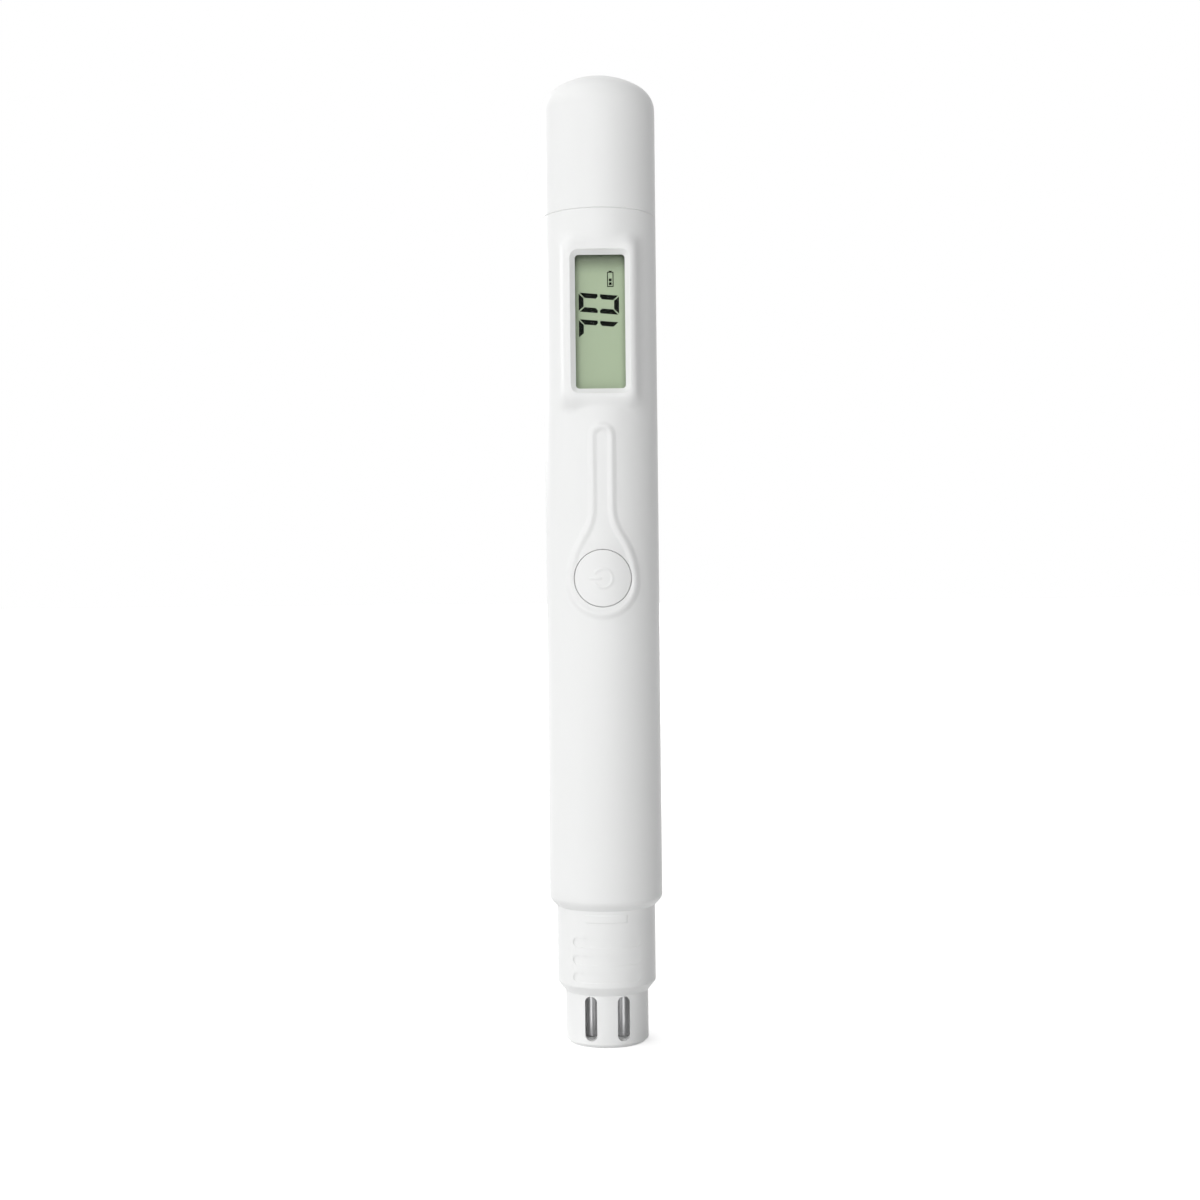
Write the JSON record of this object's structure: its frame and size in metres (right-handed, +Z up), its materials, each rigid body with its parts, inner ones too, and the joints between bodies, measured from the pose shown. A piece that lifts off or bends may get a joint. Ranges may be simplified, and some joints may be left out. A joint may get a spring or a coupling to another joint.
{
  "type": "tds meter",
  "caption": "Pen-shaped water tester: round barrel with a bezelled display and a push button, pull-off battery cap, slotted probe tip with electrodes.",
  "frame": {"origin": "centre of the probe's flat tip", "axes": "+Z up the pen to the battery cap's dome, -Y out of the display and the push button, +X to the right of someone who looks at the display"},
  "size_m": [0.016, 0.0163, 0.1367],
  "materials": {
    "white_plastic": "glossy moulded",
    "chassis_plastic": "satin moulded",
    "black_plastic": "matt moulded",
    "black_film": "matt adhesive film",
    "window": "clear polished",
    "lcd_film": "satin grey-green",
    "lcd_glass": "clear",
    "black_rubber": "matt",
    "board": "solder-masked laminate",
    "steel": "plated, satin",
    "tinned": "tin plated",
    "ceramic": "matt ceramic",
    "nickel": "nickel plated",
    "electrode": "fine brushed",
    "epoxy": "glossy potted"
  },
  "bodies": {
    "meter": {"barrel": "white_plastic", "probe_nose": "white_plastic", "chassis": "chassis_plastic", "window_tape": "black_film", "display_window": "window", "front_polariser": "lcd_film", "lcd_front_glass": "lcd_glass", "lcd_rear_glass": "lcd_glass", "lcd_reflector": "lcd_film", "zebra_strip": "black_rubber", "display_frame": "chassis_plastic", "circuit_board": "board", "board_screws": "steel", "switch_body": "black_plastic", "switch_cover": "steel", "switch_terminals": "tinned", "controller_chip": "black_plastic", "chip_leads": "tinned", "clock_crystal": "tinned", "small_components": "ceramic", "positive_contact": "nickel", "negative_spring": "nickel", "button_cell_1": "steel", "button_cell_2": "steel", "cap_seal": "black_rubber", "nose_seal": "black_rubber", "electrode_left": "electrode", "electrode_right": "electrode", "temperature_sensor": "epoxy"},
    "cap": {"battery_cap": "white_plastic"},
    "button": {"push_button": "white_plastic"},
    "plunger": {"switch_plunger": "black_plastic"}
  },
  "joints": [
    {"name": "cap_pull", "type": "slide", "parent": "meter", "child": "cap", "axis": [0, 0, 1], "range_m": [0, 0.025]},
    {"name": "button_press", "type": "slide", "parent": "meter", "child": "button", "axis": [0, 1, 0], "range_m": [0, 0.0003], "stiffness_N_per_m": 2000, "springref_m": -0.0003},
    {"name": "plunger_press", "type": "slide", "parent": "meter", "child": "plunger", "axis": [0, 1, 0], "range_m": [0, 0.0003]}
  ],
  "couplings": [
    {"joint": "plunger_press", "follows": "button_press", "ratio": 1}
  ]
}
